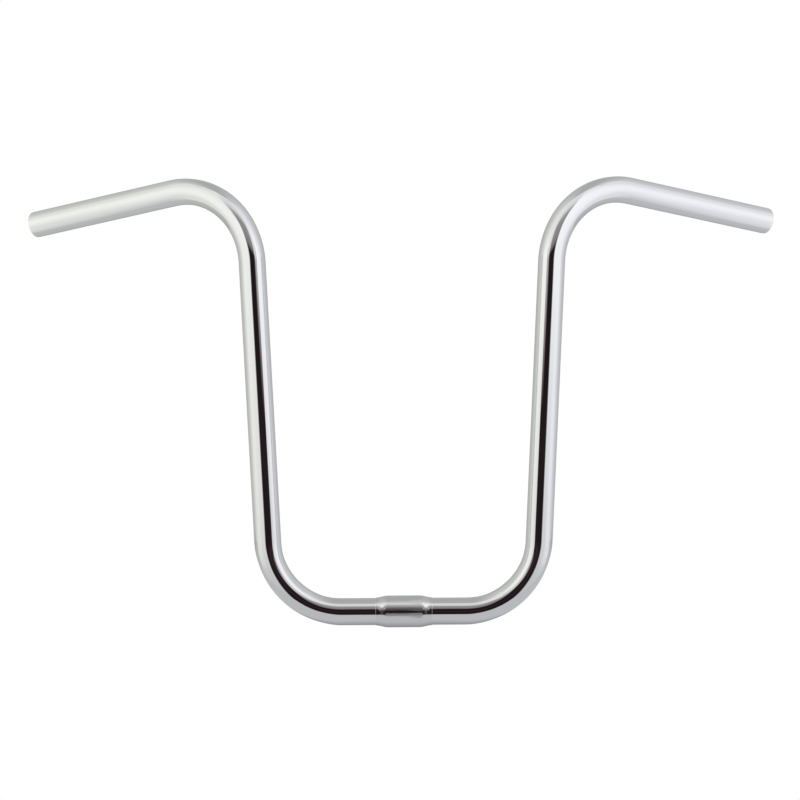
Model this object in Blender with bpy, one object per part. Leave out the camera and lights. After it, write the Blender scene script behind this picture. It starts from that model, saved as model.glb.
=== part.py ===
"""High-rise handlebar: one cold-bent steel tube with a clamp sleeve swaged onto its middle.

Metres, +Z up. The origin is the middle of the stem clamp: +X runs along the clamp to the right
grip, +Z up the legs, and +Y towards the rider, the way that the grips sweep back.
"""
import math

import bmesh
import bpy
from mathutils import Matrix, Vector

MM = 0.001

# Tube: 7/8 inch bar tubing.
TUBE_RADIUS = 11.1 * MM
WALL = 1.6 * MM
BORE_RADIUS = TUBE_RADIUS - WALL

# Centreline of the right half, from the middle of the clamp outwards.
BASE_HALF = 50.5 * MM
LOWER_BEND_RADIUS = 61.4 * MM
LEG_LEAN = math.radians(2.87)
LEG_LENGTH = 229.8 * MM
UPPER_BEND_RADIUS = 64.3 * MM
GRIP_SWEEP = math.radians(24.2)
GRIP_DROOP = math.radians(8.6)
GRIP_LENGTH = 139.7 * MM

# A mandrel bend leaves the tube slightly flattened in the bend's plane.
LOWER_FLATTENING = 0.040
UPPER_FLATTENING = 0.025
FLATTENING_RUN_IN = 0.22

# Cut end of the tube: the cutter rolls the outer edge in, and a reamer breaks the inner one.
ROLL_LENGTH = 3.0 * MM
ROLL_DEPTH = 0.25 * MM
RIM_ROUNDING = 0.6 * MM
RIM_CHAMFER = 0.2 * MM

# Clamp sleeve: 25.4 mm blank, raised a little where it is knurled, tapered at both ends.
FIT_GAP = 0.3 * MM
SLEEVE_HALF = 23.2 * MM
SLEEVE_LIP_RADIUS = 11.65 * MM
SLEEVE_BLANK_RADIUS = 12.75 * MM
SLEEVE_KNURL_RADIUS = 13.05 * MM
SLEEVE_TAPER_START = 15.9 * MM
KNURL_HALF = 14.6 * MM
KNURL_CHAMFER = 0.4 * MM
BORE_CHAMFER = 0.15 * MM

# Mesh fineness.
TUBE_SIDES = 32
SLEEVE_SIDES = 40
LOWER_BEND_STEPS = 13
UPPER_BEND_STEPS = 14
RIM_STEPS = 3
TAPER_STEPS = 6
MERGE_DISTANCE = 0.01 * MM
SMOOTH_ANGLE = math.radians(35)


def smoothstep(t):
    """0 to 1 with level ends."""
    t = min(max(t, 0.0), 1.0)
    return t * t * (3.0 - 2.0 * t)


def empty_scene():
    for old in list(bpy.data.objects):
        bpy.data.objects.remove(old, do_unlink=True)


def steel(name, colour, roughness):
    material = bpy.data.materials.new(name)
    material.use_nodes = True
    shader = material.node_tree.nodes["Principled BSDF"]
    shader.inputs["Base Color"].default_value = (*colour, 1.0)
    shader.inputs["Metallic"].default_value = 1.0
    shader.inputs["Roughness"].default_value = roughness
    return material


class Centreline:
    """Straights and arcs of the right half, with a frame that turns only where the tube bends."""

    def __init__(self):
        self.point = Vector()
        self.turn = Matrix.Identity(3)
        self.stations = []
        self.mark()

    def mark(self, bend_axis=None, flattening=0.0):
        self.stations.append((self.point.copy(), self.turn.copy(), bend_axis, flattening))

    def direction(self):
        return self.turn @ Vector((1, 0, 0))

    def straight(self, length):
        self.point += self.direction() * length
        self.mark()

    def bend_towards(self, new_direction, radius, steps, flattening):
        """Turn along a circular arc until the tube points in new_direction."""
        start_point = self.point.copy()
        start_turn = self.turn.copy()
        start_direction = self.direction()
        axis = start_direction.cross(new_direction).normalized()
        inward = axis.cross(start_direction)
        centre = start_point + inward * radius
        full_angle = start_direction.angle(new_direction)
        for step in range(1, steps + 1):
            share = step / steps
            rotation = Matrix.Rotation(full_angle * share, 3, axis)
            self.point = centre - rotation @ inward * radius
            self.turn = rotation @ start_turn
            from_nearer_end = min(share, 1.0 - share)
            amount = flattening * smoothstep(from_nearer_end / FLATTENING_RUN_IN)
            self.mark(axis, amount)


def bar_centreline():
    leg = Vector((math.sin(LEG_LEAN), 0.0, math.cos(LEG_LEAN)))
    grip = Vector(
        (
            math.cos(GRIP_SWEEP) * math.cos(GRIP_DROOP),
            math.sin(GRIP_SWEEP) * math.cos(GRIP_DROOP),
            -math.sin(GRIP_DROOP),
        )
    )
    line = Centreline()
    line.straight(BASE_HALF)
    line.bend_towards(leg, LOWER_BEND_RADIUS, LOWER_BEND_STEPS, LOWER_FLATTENING)
    line.straight(LEG_LENGTH)
    line.bend_towards(grip, UPPER_BEND_RADIUS, UPPER_BEND_STEPS, UPPER_FLATTENING)
    line.straight(GRIP_LENGTH - ROLL_LENGTH)
    return line


def tube_ring(bm, station, radius, ahead=0.0):
    """One loop of the tube wall about a station, or a little ahead of it along the tube."""
    point, turn, bend_axis, flattening = station
    direction = turn @ Vector((1, 0, 0))
    loop = []
    for side in range(TUBE_SIDES):
        angle = 2.0 * math.pi * side / TUBE_SIDES
        spoke = turn @ Vector((0.0, math.cos(angle), math.sin(angle))) * radius
        if bend_axis is not None:
            across = bend_axis * spoke.dot(bend_axis)
            in_plane = spoke - across
            spoke = in_plane * (1.0 - flattening) + across * (1.0 + flattening)
        loop.append(bm.verts.new(point + direction * ahead + spoke))
    return loop


def bridge(bm, loop_a, loop_b):
    count = len(loop_a)
    for i in range(count):
        j = (i + 1) % count
        bm.faces.new((loop_a[i], loop_a[j], loop_b[j], loop_b[i]))


def rim_outline():
    """Distance past the last station and radius of each loop round the cut end, inside to outside."""
    outline = [
        (ROLL_LENGTH - RIM_CHAMFER, BORE_RADIUS),
        (ROLL_LENGTH, BORE_RADIUS + RIM_CHAMFER),
    ]
    rolled_radius = TUBE_RADIUS - ROLL_DEPTH
    for step in range(RIM_STEPS + 1):
        angle = 0.5 * math.pi * step / RIM_STEPS
        ahead = ROLL_LENGTH - RIM_ROUNDING * (1.0 - math.cos(angle))
        radius = rolled_radius - RIM_ROUNDING * (1.0 - math.sin(angle))
        outline.append((ahead, radius))
    return outline


def finish_object(name, bm, material, parent):
    bmesh.ops.recalc_face_normals(bm, faces=bm.faces)
    mesh = bpy.data.meshes.new(name)
    bm.to_mesh(mesh)
    bm.free()
    mesh.materials.append(material)
    mesh.shade_smooth()
    mesh.set_sharp_from_angle(angle=SMOOTH_ANGLE)
    made = bpy.data.objects.new(name, mesh)
    bpy.context.collection.objects.link(made)
    made.parent = parent
    return made


def make_bar_tube(parent):
    """The whole bar is one continuous tube: this half of it is mirrored at the clamp's middle."""
    stations = bar_centreline().stations
    bm = bmesh.new()
    loops = [tube_ring(bm, station, BORE_RADIUS) for station in stations]
    loops += [tube_ring(bm, stations[-1], radius, ahead) for ahead, radius in rim_outline()]
    loops += [tube_ring(bm, station, TUBE_RADIUS) for station in reversed(stations)]
    for loop_a, loop_b in zip(loops, loops[1:]):
        bridge(bm, loop_a, loop_b)
    chrome = steel("chrome_plate", (0.80, 0.81, 0.83), 0.06)
    tube = finish_object("bar_tube", bm, chrome, parent)
    mirror = tube.modifiers.new("Left half", "MIRROR")
    mirror.use_axis = (True, False, False)
    mirror.use_mirror_merge = True
    mirror.merge_threshold = MERGE_DISTANCE
    return tube


def sleeve_outline():
    """(x, radius) of the sleeve's closed section, from the bore's middle outwards and back."""
    bore = TUBE_RADIUS + FIT_GAP
    right = [(SLEEVE_HALF - BORE_CHAMFER, bore), (SLEEVE_HALF, bore + BORE_CHAMFER)]
    for step in range(TAPER_STEPS + 1):
        share = step / TAPER_STEPS
        x = SLEEVE_HALF + (SLEEVE_TAPER_START - SLEEVE_HALF) * share
        rise = (SLEEVE_BLANK_RADIUS - SLEEVE_LIP_RADIUS) * smoothstep(share)
        right.append((x, SLEEVE_LIP_RADIUS + rise))
    right.append((KNURL_HALF + KNURL_CHAMFER, SLEEVE_BLANK_RADIUS))
    right.append((KNURL_HALF, SLEEVE_KNURL_RADIUS))
    left = [(-x, radius) for x, radius in reversed(right)]
    return right + left


def make_centre_sleeve(parent):
    """Turned about the tube's axis, X, and clear of the tube by the fit gap."""
    bm = bmesh.new()
    loops = []
    for x, radius in sleeve_outline():
        loop = []
        for side in range(SLEEVE_SIDES):
            angle = 2.0 * math.pi * side / SLEEVE_SIDES
            loop.append(bm.verts.new((x, radius * math.cos(angle), radius * math.sin(angle))))
        loops.append(loop)
    for loop_a, loop_b in zip(loops, loops[1:] + loops[:1]):
        bridge(bm, loop_a, loop_b)
    worn_chrome = steel("knurled_chrome", (0.72, 0.72, 0.72), 0.22)
    return finish_object("centre_sleeve", bm, worn_chrome, parent)


def main():
    empty_scene()
    handlebar = bpy.data.objects.new("handlebar", None)
    bpy.context.collection.objects.link(handlebar)
    make_bar_tube(handlebar)
    make_centre_sleeve(handlebar)


main()
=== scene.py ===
"""Looks of the high-rise handlebar: a chromed bent tube and its knurled clamp sleeve, in a light tent."""
import math
import random

import bmesh
import bpy
from mathutils import Matrix, Vector


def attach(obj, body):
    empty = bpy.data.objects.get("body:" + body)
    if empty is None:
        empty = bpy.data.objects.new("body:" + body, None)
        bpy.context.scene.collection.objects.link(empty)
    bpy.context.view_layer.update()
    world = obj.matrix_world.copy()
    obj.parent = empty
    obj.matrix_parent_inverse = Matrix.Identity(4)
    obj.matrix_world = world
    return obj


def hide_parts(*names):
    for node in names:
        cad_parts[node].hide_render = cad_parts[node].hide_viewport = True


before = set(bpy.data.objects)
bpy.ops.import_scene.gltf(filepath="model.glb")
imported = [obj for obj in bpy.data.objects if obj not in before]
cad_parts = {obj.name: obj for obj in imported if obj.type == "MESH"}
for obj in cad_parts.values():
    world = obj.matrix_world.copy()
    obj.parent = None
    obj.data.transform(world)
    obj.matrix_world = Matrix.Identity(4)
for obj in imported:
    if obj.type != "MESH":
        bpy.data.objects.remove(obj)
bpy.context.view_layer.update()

MM = 0.001

# The bar's centreline, as the CAD has it: right half, from the middle of the clamp outwards.
TUBE_RADIUS = 11.08 * MM
WALL = 1.6 * MM
BORE_RADIUS = TUBE_RADIUS - WALL
BASE_HALF = 50.5 * MM
LOWER_BEND_RADIUS = 61.4 * MM
LEG_LEAN = math.radians(2.87)
LEG_LENGTH = 229.8 * MM
UPPER_BEND_RADIUS = 64.3 * MM
GRIP_SWEEP = math.radians(24.2)
GRIP_DROOP = math.radians(8.6)
GRIP_LENGTH = 139.1 * MM
LOWER_FLATTENING = 0.040
UPPER_FLATTENING = 0.025
FLATTENING_RUN_IN = 0.22

# Cut end: rolled in by the cutter, gently at first, then rounded; the bore's edge is reamed.
ROLL_LENGTH = 3.0 * MM
ROLL_DEPTH = 0.15 * MM
ROLL_CURVE = 1.6
RIM_ROUNDING = 0.25 * MM
RIM_CHAMFER = 0.2 * MM

# The plating reaches this far into the bore.
PLATING_REACH = 14.0 * MM

# Seam weld inside the tube: a low bead along the bore, on the side away from the grips' sweep.
WELD_HALF_ANGLE = math.radians(10)
WELD_HEIGHT = 0.35 * MM
WELD_ANGLE = math.radians(200)

# Clamp sleeve.
SLEEVE_HALF = 23.2 * MM
SLEEVE_BORE_RADIUS = TUBE_RADIUS + 0.02 * MM
SLEEVE_LIP_RADIUS = 11.40 * MM
SLEEVE_TAPER_END = 12.7 * MM
KNURL_START = 16.2 * MM
KNURL_FULL = 14.0 * MM
KNURL_CREST_RADIUS = 13.03 * MM
KNURL_DEPTH = 0.040 * MM
KNURL_DEEPER_RIGHT = 0.8
KNURL_COUNT = 84
KNURL_SEED = 7
FLUTE_SHALLOWEST = 0.5
FLUTE_DEEPEST = 1.5
SLEEVE_EDGE_BREAK = 0.08 * MM

# Mesh fineness.
TUBE_SIDES = 128
STRAIGHT_STEP = 2.5 * MM
BEND_STEP = math.radians(1.25)
KNURL_POINTS = 8
SLEEVE_LENGTH_STEPS = 28
TAPER_STEPS = 40
RIM_STEPS = 8
ROLL_STEPS = 12
MERGE_DISTANCE = 0.01 * MM
SMOOTH_ANGLE = math.radians(40)

# Camera: level with the middle of the legs, with a long lens. The bar stands very slightly turned
# and tipped in view, so the camera is turned and tipped the other way.
CAMERA_DISTANCE = 1.62
CAMERA_RIGHT = -3.2 * MM
CAMERA_HEIGHT = 174.1 * MM
BAR_YAW = math.radians(0.24)
BAR_ROLL = math.radians(-0.32)
LENS_MM = 88.5
SENSOR_MM = 36.0
CLIP_START = 0.01
CLIP_END = 50.0

# Light tent round the bar, open at the front where the camera looks in. A header cloth hangs
# further forward, above the opening.
TENT_FRONT_Y = -0.37
TENT_OPENING_HALF = 0.197
TENT_EDGE_SOFTNESS = 0.055
TENT_HEADER_Y = -1.2
TENT_HEADER_FOOT = 0.15
TENT_HEADER_TOP = 5.0
TENT_BACK_Y = 1.5
TENT_HALF_WIDTH = 1.7
TENT_TOP = 1.4
TENT_FLOOR_Z = -0.15
FLOOR_HALF_WIDTH = 1.8
FLOOR_FRONT_Y = -8.0

# The floor's painted bright front part ends along two lines that run outwards and back at this slope.
FLOOR_SLANT = 1.6

# A painted shadow of the bar on the tent's floor: an ellipse of soft edge behind the bar, darkened into the
# floor's glow.
SHADOW_Y = 0.42
SHADOW_HALF_WIDTH = 0.19
SHADOW_HALF_DEPTH = 0.40
SHADOW_SHADE = 0.57

# Colours of metal.
CHROME_DARKER = (0.79, 0.80, 0.82)
CHROME_LIGHTER = (0.81, 0.82, 0.84)
BRUSHED_CHROME = (0.84, 0.84, 0.83)
FLUTE_CHROME = (0.765, 0.77, 0.785)
RUBBED_CHROME = (0.79, 0.80, 0.815)
THIN_PLATING = (0.74, 0.74, 0.75)
DULL_STEEL = (0.46, 0.44, 0.42)
RUST_STAIN = (0.26, 0.15, 0.09)

# Roughness that brushing adds to the plate, and that plating takes from the bore's steel.
BRUSHED_ROUGHER = 0.17
PLATING_SMOOTHER = 0.22

# Colours of light. All but the last two are factors on a grey.
NEUTRAL = (1.0, 1.0, 0.98)
TENT_YELLOW = (0.995, 1.0, 0.94)
TENT_BLUE = (0.995, 1.0, 1.025)
HEADER_WARM = (1.07, 0.99, 0.96)
ROOM_PINK = (1.45, 0.95, 1.05)
ROOM_FLOOR = (0.017, 0.0105, 0.0125)
WHITE = (1.0, 1.0, 1.0)


# ---------------------------------------------------------------- small helpers

def smoothstep(t):
    """0 to 1 with level ends."""
    t = min(max(t, 0.0), 1.0)
    return t * t * (3.0 - 2.0 * t)


def add_mesh_object(name, bm, material=None):
    bmesh.ops.recalc_face_normals(bm, faces=bm.faces)
    mesh = bpy.data.meshes.new(name)
    bm.to_mesh(mesh)
    bm.free()
    mesh.shade_smooth()
    mesh.set_sharp_from_angle(angle=SMOOTH_ANGLE)
    if material is not None:
        mesh.materials.append(material)
    made = bpy.data.objects.new(name, mesh)
    bpy.context.scene.collection.objects.link(made)
    return made


def bridge(bm, loop_a, loop_b, material_index=0):
    count = len(loop_a)
    for i in range(count):
        j = (i + 1) % count
        face = bm.faces.new((loop_a[i], loop_a[j], loop_b[j], loop_b[i]))
        face.material_index = material_index


# ---------------------------------------------------------------- the tube

class Centreline:
    """Straights and arcs of one half of the bar.

    A station is (point, turn, bend axis, flattening, distance along the tube).
    """

    def __init__(self):
        self.point = Vector()
        self.turn = Matrix.Identity(3)
        self.travelled = 0.0
        self.stations = []
        self.mark()

    def mark(self, bend_axis=None, flattening=0.0):
        station = (self.point.copy(), self.turn.copy(), bend_axis, flattening, self.travelled)
        self.stations.append(station)

    def direction(self):
        return self.turn @ Vector((1, 0, 0))

    def straight(self, length):
        steps = max(1, round(length / STRAIGHT_STEP))
        for _ in range(steps):
            self.point = self.point + self.direction() * (length / steps)
            self.travelled += length / steps
            self.mark()

    def bend_towards(self, new_direction, radius, flattening):
        """Turn along a circular arc until the tube points in new_direction."""
        start_turn = self.turn.copy()
        start_direction = self.direction()
        axis = start_direction.cross(new_direction).normalized()
        inward = axis.cross(start_direction)
        centre = self.point + inward * radius
        full_angle = start_direction.angle(new_direction)
        steps = round(full_angle / BEND_STEP)
        for step in range(1, steps + 1):
            share = step / steps
            rotation = Matrix.Rotation(full_angle * share, 3, axis)
            self.point = centre - rotation @ inward * radius
            self.turn = rotation @ start_turn
            self.travelled += radius * full_angle / steps
            from_nearer_end = min(share, 1.0 - share)
            self.mark(axis, flattening * smoothstep(from_nearer_end / FLATTENING_RUN_IN))


def bar_centreline():
    leg = Vector((math.sin(LEG_LEAN), 0.0, math.cos(LEG_LEAN)))
    grip = Vector(
        (
            math.cos(GRIP_SWEEP) * math.cos(GRIP_DROOP),
            math.sin(GRIP_SWEEP) * math.cos(GRIP_DROOP),
            -math.sin(GRIP_DROOP),
        )
    )
    line = Centreline()
    line.straight(BASE_HALF)
    line.bend_towards(leg, LOWER_BEND_RADIUS, LOWER_FLATTENING)
    line.straight(LEG_LENGTH)
    line.bend_towards(grip, UPPER_BEND_RADIUS, UPPER_FLATTENING)
    line.straight(GRIP_LENGTH - ROLL_LENGTH)
    return line


def half_length():
    """Along the tube, from the clamp's middle to the cut end."""
    return bar_centreline().travelled + ROLL_LENGTH


def tube_ring(bm, station, radius_at, ahead=0.0):
    """One loop of the wall. Each point also keeps its place on the tube before it was bent."""
    point, turn, bend_axis, flattening, travelled = station
    direction = turn @ Vector((1, 0, 0))
    unbent = bm.verts.layers.float_vector["unbent"]
    loop = []
    for side in range(TUBE_SIDES):
        angle = 2.0 * math.pi * side / TUBE_SIDES
        straight_spoke = Vector((0.0, math.cos(angle), math.sin(angle))) * radius_at(angle)
        spoke = turn @ straight_spoke
        if bend_axis is not None:
            across = bend_axis * spoke.dot(bend_axis)
            in_plane = spoke - across
            spoke = in_plane * (1.0 - flattening) + across * (1.0 + flattening)
        vertex = bm.verts.new(point + direction * ahead + spoke)
        vertex[unbent] = straight_spoke + Vector((travelled + ahead, 0.0, 0.0))
        loop.append(vertex)
    return loop


def bore_radius_at(angle):
    """The bore, with the seam weld's bead standing in from it."""
    off = math.remainder(angle - WELD_ANGLE, 2.0 * math.pi)
    bead = 0.0
    if abs(off) < WELD_HALF_ANGLE:
        bead = WELD_HEIGHT * 0.5 * (1.0 + math.cos(math.pi * off / WELD_HALF_ANGLE))
    return BORE_RADIUS - bead


def rim_loops(bm, station):
    """Loops round the cut end, from the bore to the tube's full outer diameter.

    The roll follows ROLL_CURVE times a square at first, and a straight line from where they meet.
    """
    loops = []
    chamfer_steps = ((ROLL_LENGTH - RIM_CHAMFER, 0.0), (ROLL_LENGTH, RIM_CHAMFER))
    for ahead, opened in chamfer_steps:
        loops.append(tube_ring(bm, station, lambda a, o=opened: bore_radius_at(a) + o, ahead))
    rolled_radius = TUBE_RADIUS - ROLL_DEPTH
    for step in range(RIM_STEPS + 1):
        angle = 0.5 * math.pi * step / RIM_STEPS
        ahead = ROLL_LENGTH - RIM_ROUNDING * (1.0 - math.cos(angle))
        radius = rolled_radius - RIM_ROUNDING * (1.0 - math.sin(angle))
        loops.append(tube_ring(bm, station, lambda a, r=radius: r, ahead))
    rounding_start = ROLL_LENGTH - RIM_ROUNDING
    for step in range(1, ROLL_STEPS):
        share = 1.0 - step / ROLL_STEPS
        radius = TUBE_RADIUS - ROLL_DEPTH * min(share, ROLL_CURVE * share * share)
        loops.append(tube_ring(bm, station, lambda a, r=radius: r, rounding_start * share))
    return loops


def make_tube(plate, raw_steel):
    """Half of the bar, mirrored at the clamp's middle: bore, rim and outside as one closed wall."""
    stations = bar_centreline().stations
    bm = bmesh.new()
    bm.verts.layers.float_vector.new("unbent")
    inside = [tube_ring(bm, station, bore_radius_at) for station in stations]
    rim = rim_loops(bm, stations[-1])
    outside = [tube_ring(bm, station, lambda a: TUBE_RADIUS) for station in reversed(stations)]
    loops = inside + rim + outside
    for index, (loop_a, loop_b) in enumerate(zip(loops, loops[1:])):
        bridge(bm, loop_a, loop_b, 1 if index < len(inside) else 0)
    tube = add_mesh_object("chromed_tube", bm)
    tube.data.materials.append(plate)
    tube.data.materials.append(raw_steel)
    mirror = tube.modifiers.new("Left half", "MIRROR")
    mirror.use_axis = (True, False, False)
    mirror.merge_threshold = MERGE_DISTANCE
    return tube


# ---------------------------------------------------------------- the clamp sleeve

def sleeve_radius(x):
    """The sleeve's outside, swaged down from the knurl's crests to a thin lip at either end."""
    share = (SLEEVE_HALF - abs(x)) / (SLEEVE_HALF - SLEEVE_TAPER_END)
    return SLEEVE_LIP_RADIUS + (KNURL_CREST_RADIUS - SLEEVE_LIP_RADIUS) * smoothstep(share)


def knurl_depth(x):
    """The rollers bit a little deeper towards the right end; the flutes run out on the tapers."""
    fade = smoothstep((KNURL_START - abs(x)) / (KNURL_START - KNURL_FULL))
    return KNURL_DEPTH * fade * (1.0 + KNURL_DEEPER_RIGHT * smoothstep(x / KNURL_FULL))


def sleeve_sections():
    """(x, crest radius, knurl depth) of the closed section, from the right lip over to the left."""
    half = SLEEVE_HALF
    right_end = [
        (half - SLEEVE_EDGE_BREAK, SLEEVE_BORE_RADIUS, 0.0),
        (half, SLEEVE_BORE_RADIUS + SLEEVE_EDGE_BREAK, 0.0),
        (half, SLEEVE_LIP_RADIUS - SLEEVE_EDGE_BREAK, 0.0),
    ]
    taper = [half - (half - SLEEVE_TAPER_END) * step / TAPER_STEPS for step in range(1, TAPER_STEPS)]
    middle = [
        SLEEVE_TAPER_END * (1.0 - 2.0 * step / SLEEVE_LENGTH_STEPS)
        for step in range(SLEEVE_LENGTH_STEPS + 1)
    ]
    places = taper + middle + [-x for x in reversed(taper)]
    outside = [(x, sleeve_radius(x), knurl_depth(x)) for x in places]
    left_end = [(-x, radius, depth) for x, radius, depth in reversed(right_end)]
    return right_end + outside + left_end


def make_sleeve(plate):
    """Straight knurling: a wave round the sleeve, each flute a little deeper or shallower."""
    sides = KNURL_COUNT * KNURL_POINTS
    pressed = random.Random(KNURL_SEED)
    flute_depths = [pressed.uniform(FLUTE_SHALLOWEST, FLUTE_DEEPEST) for _ in range(KNURL_COUNT)]
    bm = bmesh.new()
    loops = []
    for x, crest, depth in sleeve_sections():
        loop = []
        for side in range(sides):
            angle = 2.0 * math.pi * side / sides
            flute = 0.5 * (1.0 - math.cos(angle * KNURL_COUNT)) * flute_depths[side // KNURL_POINTS]
            r = crest - depth * flute
            loop.append(bm.verts.new((x, r * math.cos(angle), r * math.sin(angle))))
        loops.append(loop)
    for loop_a, loop_b in zip(loops, loops[1:] + loops[:1]):
        bridge(bm, loop_a, loop_b)
    return add_mesh_object("knurled_sleeve", bm, plate)


# ---------------------------------------------------------------- materials

class Nodes:
    """Short names for the nodes of one material or of the world."""

    def __init__(self, owner):
        owner.use_nodes = True
        self.owner = owner
        self.tree = owner.node_tree
        self.shader = self.tree.nodes.get("Principled BSDF")

    def add(self, kind, **settings):
        node = self.tree.nodes.new(kind)
        for key, value in settings.items():
            setattr(node, key, value)
        return node

    def link(self, from_socket, to_socket):
        self.tree.links.new(from_socket, to_socket)

    def object_place(self):
        return self.add("ShaderNodeTexCoord").outputs["Object"]

    def unbent_place(self):
        return self.add("ShaderNodeAttribute", attribute_name="unbent").outputs["Vector"]

    def split(self, vector):
        node = self.add("ShaderNodeSeparateXYZ")
        self.link(vector, node.inputs["Vector"])
        return node.outputs

    def noise(self, vector, scale, detail=3.0, roughness=0.5):
        node = self.add("ShaderNodeTexNoise")
        node.inputs["Scale"].default_value = scale
        node.inputs["Detail"].default_value = detail
        node.inputs["Roughness"].default_value = roughness
        self.link(vector, node.inputs["Vector"])
        return node.outputs["Fac"]

    def remap(self, value, low, high, new_low=0.0, new_high=1.0):
        node = self.add("ShaderNodeMapRange")
        node.inputs["From Min"].default_value = low
        node.inputs["From Max"].default_value = high
        node.inputs["To Min"].default_value = new_low
        node.inputs["To Max"].default_value = new_high
        self.link(value, node.inputs["Value"])
        return node.outputs["Result"]

    def ramp(self, source, stops):
        """A ramp of greys."""
        node = self.add("ShaderNodeValToRGB")
        elements = node.color_ramp.elements
        elements.remove(elements[-1])
        for index, (place, grey) in enumerate(stops):
            element = elements[0] if index == 0 else elements.new(place)
            element.position = place
            element.color = (grey, grey, grey, 1.0)
        self.link(source, node.inputs["Fac"])
        return node.outputs["Color"]

    def mix(self, share, colour_a, colour_b):
        node = self.add("ShaderNodeMix", data_type="RGBA")
        self.link(share, node.inputs["Factor"])
        for name, colour in (("A", colour_a), ("B", colour_b)):
            socket = next(s for s in node.inputs if s.name == name and s.type == "RGBA")
            if isinstance(colour, tuple):
                socket.default_value = (*colour, 1.0)
            else:
                self.link(colour, socket)
        return next(s for s in node.outputs if s.type == "RGBA")

    def stretch(self, vector, factors):
        """Each part of the vector times its own constant."""
        node = self.add("ShaderNodeVectorMath", operation="MULTIPLY")
        self.link(vector, node.inputs[0])
        node.inputs[1].default_value = factors
        return node.outputs["Vector"]

    def multiply(self, colour_a, colour_b):
        node = self.add("ShaderNodeVectorMath", operation="MULTIPLY")
        self.link(colour_a, node.inputs[0])
        self.link(colour_b, node.inputs[1])
        return node.outputs["Vector"]

    def dim(self, colour, share):
        node = self.add("ShaderNodeVectorMath", operation="SCALE")
        self.link(colour, node.inputs[0])
        self.link(share, node.inputs["Scale"])
        return node.outputs["Vector"]

    def bump(self, height, distance, strength=1.0, normal=None):
        node = self.add("ShaderNodeBump")
        node.inputs["Distance"].default_value = distance
        node.inputs["Strength"].default_value = strength
        self.link(height, node.inputs["Height"])
        if normal is not None:
            self.link(normal, node.inputs["Normal"])
        return node.outputs["Normal"]

    def math(self, operation, a, b=0.0):
        node = self.add("ShaderNodeMath", operation=operation)
        for socket, value in zip(node.inputs, (a, b)):
            if isinstance(value, (int, float)):
                socket.default_value = value
            else:
                self.link(value, socket)
        return node.outputs["Value"]

    def camera_sees(self, shader_kind, seen, glow_shader, output_socket):
        """Glow for every ray but the camera's own, which meets a plain colour in its place."""
        plain = self.add(shader_kind)
        plain.inputs["Color"].default_value = (*seen, 1.0)
        mix = self.add("ShaderNodeMixShader")
        self.link(self.add("ShaderNodeLightPath").outputs["Is Camera Ray"], mix.inputs["Fac"])
        self.link(glow_shader, mix.inputs[1])
        self.link(plain.outputs[0], mix.inputs[2])
        self.link(mix.outputs["Shader"], output_socket)


def bright_chrome():
    """Mirror plate on a drawn and polished tube: cloudy gloss, long faint streaks, fine polish rings.

    The last stretch before each cut is brushed instead.
    """
    n = Nodes(bpy.data.materials.new("bright_chrome"))
    place = n.object_place()
    unbent = n.unbent_place()
    streaks = n.noise(n.stretch(unbent, (0.02, 1.0, 1.0)), scale=900.0, detail=2.0)
    rings = n.noise(n.stretch(unbent, (1.0, 0.04, 0.04)), scale=2600.0, roughness=0.6)
    clouds = n.noise(place, scale=55.0, detail=4.0, roughness=0.6)
    cloudiness = n.remap(clouds, 0.3, 0.7, 0.018, 0.045)
    gloss = n.math("ADD", cloudiness, n.remap(rings, 0.3, 0.7, 0.0, 0.012))
    end = half_length()
    brushed = n.remap(n.split(unbent)["X"], end - 1.05 * ROLL_LENGTH, end - 0.9 * ROLL_LENGTH)
    roughness = n.math("ADD", gloss, n.math("MULTIPLY", brushed, BRUSHED_ROUGHER))
    n.link(roughness, n.shader.inputs["Roughness"])
    tone = n.remap(n.noise(place, scale=9.0, detail=2.0), 0.3, 0.7)
    plate = n.mix(tone, CHROME_DARKER, CHROME_LIGHTER)
    n.link(n.mix(brushed, plate, BRUSHED_CHROME), n.shader.inputs["Base Color"])
    n.shader.inputs["Metallic"].default_value = 1.0
    ripple = n.bump(n.noise(place, scale=160.0, detail=2.0), 0.003 * MM)
    drawn = n.bump(streaks, 0.0015 * MM, normal=ripple)
    n.link(n.bump(rings, 0.0004 * MM, normal=drawn), n.shader.inputs["Normal"])
    return n.owner


def knurl_chrome():
    """The same plate over the knurl: greyer in the flutes, brighter where a clamp has rubbed the crests."""
    n = Nodes(bpy.data.materials.new("knurl_chrome"))
    place = n.object_place()
    from_axis = n.add("ShaderNodeVectorMath", operation="LENGTH")
    n.link(n.stretch(place, (0.0, 1.0, 1.0)), from_axis.inputs[0])
    crest = n.remap(from_axis.outputs["Value"], KNURL_CREST_RADIUS - KNURL_DEPTH, KNURL_CREST_RADIUS)
    clouds = n.noise(place, scale=220.0, detail=4.0, roughness=0.6)
    rubbed = n.math("MULTIPLY", crest, n.remap(clouds, 0.35, 0.65))
    n.link(n.mix(rubbed, FLUTE_CHROME, RUBBED_CHROME), n.shader.inputs["Base Color"])
    n.link(n.remap(clouds, 0.3, 0.7, 0.07, 0.12), n.shader.inputs["Roughness"])
    n.shader.inputs["Metallic"].default_value = 1.0
    scuffs = n.noise(n.stretch(place, (1.0, 0.05, 0.05)), scale=1800.0, roughness=0.6)
    n.link(n.bump(scuffs, 0.001 * MM), n.shader.inputs["Normal"])
    return n.owner


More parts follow.
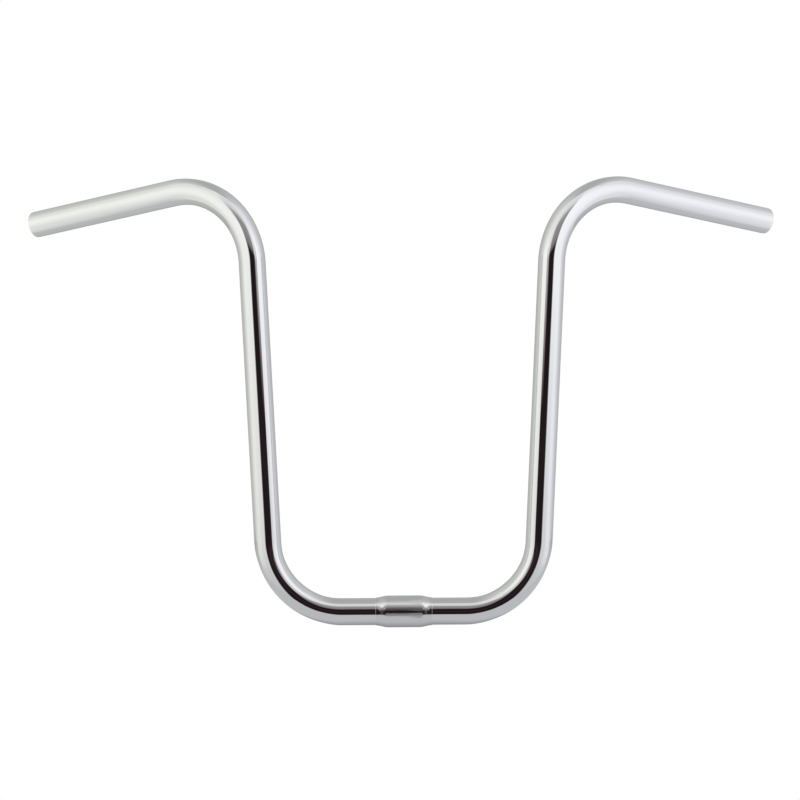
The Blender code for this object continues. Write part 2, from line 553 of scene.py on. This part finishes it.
def bare_steel():
    """The bore: plating thrown a little way in from the cut end, then dull steel with rust stains."""
    n = Nodes(bpy.data.materials.new("bare_steel_bore"))
    place = n.object_place()
    wander = n.remap(n.noise(place, scale=260.0), 0.3, 0.7, -2.0 * MM, 2.0 * MM)
    along = n.math("ADD", n.split(n.unbent_place())["X"], wander)
    end = half_length()
    plated = n.remap(along, end - PLATING_REACH, end - 0.3 * PLATING_REACH)
    grain = n.noise(place, scale=300.0, detail=5.0, roughness=0.6)
    stains = n.remap(n.noise(place, scale=120.0, detail=5.0, roughness=0.65), 0.5, 0.72)
    steel = n.mix(stains, DULL_STEEL, RUST_STAIN)
    n.link(n.mix(plated, steel, THIN_PLATING), n.shader.inputs["Base Color"])
    dull = n.remap(grain, 0.3, 0.7, 0.38, 0.62)
    roughness = n.math("SUBTRACT", dull, n.math("MULTIPLY", plated, PLATING_SMOOTHER))
    n.link(roughness, n.shader.inputs["Roughness"])
    n.shader.inputs["Metallic"].default_value = 1.0
    n.link(n.bump(grain, 0.02 * MM, strength=0.5), n.shader.inputs["Normal"])
    return n.owner


# ---------------------------------------------------------------- studio

def studio_material(name, build_glow, seen=None):
    """A glow for the bar's reflections. Where seen is a colour, the camera meets that instead."""
    n = Nodes(bpy.data.materials.new(name))
    n.tree.nodes.remove(n.shader)
    surface = n.tree.nodes["Material Output"].inputs["Surface"]
    glow = n.add("ShaderNodeEmission")
    n.link(build_glow(n), glow.inputs["Color"])
    if seen is None:
        n.link(glow.outputs["Emission"], surface)
    else:
        n.camera_sees("ShaderNodeEmission", seen, glow.outputs["Emission"], surface)
    return n.owner


def position(n):
    return n.split(n.add("ShaderNodeNewGeometry").outputs["Position"])


def tinted(n, grey, x, yellow_at=-0.6, blue_at=0.6):
    """The tent's cloth is a little yellow to the left and blue to the right."""
    return n.multiply(grey, n.mix(n.remap(x, yellow_at, blue_at), TENT_YELLOW, TENT_BLUE))


def wall_stops(*pairs):
    """Heights in metres and radiances, as the ramp's places and greys."""
    return [((z - TENT_FLOOR_Z) / (TENT_TOP - TENT_FLOOR_Z), grey) for z, grey in pairs]


def wall_glow(near_stops):
    """A front wall lit from above and behind: its foot is dim beside the opening, its edge falls off."""
    low, high = ((-0.15, 0.88), (0.0, 0.95), (0.12, 0.99)), ((0.40, 1.09), (0.70, 1.04), (1.30, 0.86))
    far_stops = wall_stops(*low, *high)

    def build(n):
        place = position(n)
        height = n.remap(place["Z"], TENT_FLOOR_Z, TENT_TOP)
        sideways = n.math("ABSOLUTE", place["X"])
        outwards = n.remap(sideways, 0.40, 0.75)
        glow = n.mix(outwards, n.ramp(height, near_stops), n.ramp(height, far_stops))
        edge = n.remap(sideways, TENT_OPENING_HALF, TENT_OPENING_HALF + TENT_EDGE_SOFTNESS, 0.02, 1.0)
        return tinted(n, n.dim(glow, edge), place["X"])

    return build


def header_glow(n):
    """The header cloth: unlit at its foot, dim over its middle, bright to the sides and higher up.

    Its darker greys are tinted, pinkish in the dark and warm where it is dim.
    """
    place = position(n)
    height = n.remap(place["Z"], 0.0, 2.0)
    unlit_foot = [(0.0, 0.02), (0.11, 0.011), (0.26, 0.012)]
    dim_band = [(0.32, 0.22), (0.39, 0.28), (0.61, 0.32)]
    bright_top = [(0.71, 0.48), (0.80, 0.65), (0.96, 0.82)]
    middle = n.ramp(height, unlit_foot + dim_band + bright_top)
    side = n.ramp(height, [(0.10, 0.012), (0.21, 0.50), (0.32, 0.90), (0.80, 0.92)])
    outwards = n.remap(n.math("ABSOLUTE", place["X"]), 0.40, 0.72)
    grey = n.mix(outwards, middle, side)
    dim_tint = n.mix(n.remap(grey, 0.04, 0.20), ROOM_PINK, HEADER_WARM)
    return n.multiply(grey, n.mix(n.remap(grey, 0.40, 0.70), dim_tint, NEUTRAL))


def floor_glow(n):
    """The tent's floor, a glowing sheet with painted light and shade: bright to the front and sides, dim
    behind, dimmest in a painted shadow of the bar.

    In front of the tent it is the floor of the unlit room.
    """
    place = position(n)
    sideways = n.math("ABSOLUTE", place["X"])
    front_stops = [(0.0, 0.61), (0.3, 0.63), (0.6, 0.70), (0.76, 0.82), (1.0, 0.89)]
    front = n.ramp(n.remap(sideways, 0.0, 0.80), front_stops)
    back = n.ramp(n.remap(place["Y"], 0.2, 1.4), [(0.0, 0.59), (1.0, 0.43)])
    past_slant = n.math("SUBTRACT", place["Y"], n.math("MULTIPLY", sideways, FLOOR_SLANT))
    behind = n.math("MAXIMUM", n.remap(past_slant, -0.71, -0.59), n.remap(place["Y"], 0.04, 0.18))
    bare = n.mix(behind, front, back)
    # Painted shadow of the bar: the floor's glow is darkened inside a soft ellipse behind it.
    across = n.math("DIVIDE", place["X"], SHADOW_HALF_WIDTH)
    along = n.math("DIVIDE", n.math("SUBTRACT", place["Y"], SHADOW_Y), SHADOW_HALF_DEPTH)
    squares = n.math("ADD", n.math("MULTIPLY", across, across), n.math("MULTIPLY", along, along))
    shadow = n.remap(n.math("SQRT", squares), 0.80, 1.2, SHADOW_SHADE, 1.0)
    tent_floor = tinted(n, n.dim(bare, shadow), place["X"], -0.8, 0.0)
    outside = n.remap(place["Y"], TENT_FRONT_Y - 0.03, TENT_FRONT_Y - 0.005, 1.0, 0.0)
    return n.mix(outside, tent_floor, ROOM_FLOOR)


def make_sheet(name, corners, material):
    bm = bmesh.new()
    bm.faces.new([bm.verts.new(corner) for corner in corners])
    sheet = add_mesh_object(name, bm, material)
    return sheet


def make_front_sheet(name, y, outline, glow):
    """A cloth across the tent's front, outlined in (x, z). It lights the bar and hides nothing."""
    corners = [(x, y, z) for x, z in outline]
    sheet = make_sheet(name, corners, studio_material(name, glow))
    sheet.visible_camera = False
    sheet.visible_shadow = False


def make_tent():
    """Two front walls, whose inner edges lean back above the opening, and the header."""
    half, wide = TENT_OPENING_HALF, TENT_HALF_WIDTH
    low, top = TENT_FLOOR_Z, TENT_TOP
    left = wall_stops((-0.15, 0.64), (0.05, 0.87), (0.40, 1.09), (0.80, 0.96), (1.30, 0.85))
    right = wall_stops((-0.15, 0.62), (0.05, 0.79), (0.35, 1.09), (0.60, 1.14), (1.30, 0.86))
    left_outline = ((-wide, low), (-half, low), (-half, 0.44), (-0.32, 0.58), (-0.36, top), (-wide, top))
    right_outline = ((half, low), (wide, low), (wide, top), (0.30, top), (0.27, 0.62), (half, 0.46))
    foot, head = TENT_HEADER_FOOT, TENT_HEADER_TOP
    header_outline = ((-wide, foot), (wide, foot), (wide, head), (-wide, head))
    make_front_sheet("front_left", TENT_FRONT_Y, left_outline, wall_glow(left))
    make_front_sheet("front_right", TENT_FRONT_Y, right_outline, wall_glow(right))
    make_front_sheet("front_top", TENT_HEADER_Y, header_outline, header_glow)


def make_floor():
    side, front, back = FLOOR_HALF_WIDTH, FLOOR_FRONT_Y, TENT_BACK_Y
    z = TENT_FLOOR_Z
    corners = ((-side, front, z), (side, front, z), (side, back, z), (-side, back, z))
    # The floor glows with painted light and shade for the bar's reflections; the camera sees it plain
    # white.
    make_sheet("floor", corners, studio_material("pale_floor", floor_glow, WHITE))


def make_world():
    """The tent's sides, back and roof by direction, with the unlit room that shows through its opening."""
    world = bpy.data.worlds.new("tent")
    bpy.context.scene.world = world
    n = Nodes(world)
    n.tree.nodes.clear()
    direction = n.split(n.add("ShaderNodeTexCoord").outputs["Generated"])
    to_back, up = direction["Y"], direction["Z"]
    wall_turns = [(0.0, 1.0), (0.43, 0.93), (0.56, 0.77), (0.72, 0.62), (0.90, 0.55), (1.0, 0.38)]
    walls = n.ramp(n.remap(to_back, -1.0, 1.0), wall_turns)
    from_front = n.remap(to_back, -0.3, 0.7)
    roof_middle = n.ramp(from_front, [(0.0, 0.49), (0.4, 0.49), (1.0, 0.46)])
    roof_sides = n.ramp(from_front, [(0.0, 0.98), (0.15, 0.88), (0.35, 0.74), (0.45, 0.68), (1.0, 0.63)])
    outwards = n.remap(n.math("ABSOLUTE", direction["X"]), 0.12, 0.5)
    roof = n.mix(outwards, roof_middle, roof_sides)
    cloth = n.mix(n.remap(up, 0.45, 0.85), walls, roof)
    tent = tinted(n, cloth, direction["X"])
    room = n.stretch(n.ramp(up, [(0.0, 0.014), (0.05, 0.026), (0.13, 0.011)]), ROOM_PINK)
    in_front = n.remap(to_back, -0.62, -0.60, 1.0, 0.0)
    glow = n.add("ShaderNodeBackground")
    n.link(n.mix(in_front, tent, room), glow.inputs["Color"])
    surface = n.add("ShaderNodeOutputWorld").inputs["Surface"]
    n.camera_sees("ShaderNodeBackground", WHITE, glow.outputs["Background"], surface)


def make_studio():
    make_world()
    make_floor()
    make_tent()


def make_camera():
    data = bpy.data.cameras.new("camera")
    data.lens = LENS_MM
    data.sensor_width = SENSOR_MM
    data.clip_start = CLIP_START
    data.clip_end = CLIP_END
    camera = bpy.data.objects.new("camera", data)
    bpy.context.scene.collection.objects.link(camera)
    bar_in_view = Matrix.Rotation(BAR_ROLL, 4, "Y") @ Matrix.Rotation(BAR_YAW, 4, "Z")
    upright = Matrix.Translation((CAMERA_RIGHT, -CAMERA_DISTANCE, CAMERA_HEIGHT))
    camera.matrix_world = bar_in_view.transposed() @ upright @ Matrix.Rotation(math.pi / 2, 4, "X")
    bpy.context.scene.camera = camera


# ---------------------------------------------------------------- the scene

def main():
    tube = make_tube(bright_chrome(), bare_steel())
    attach(tube, "root")
    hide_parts("bar_tube")
    sleeve = make_sleeve(knurl_chrome())
    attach(sleeve, "root")
    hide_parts("centre_sleeve")
    make_studio()
    make_camera()
    bpy.context.scene.view_settings.view_transform = "Standard"


main()
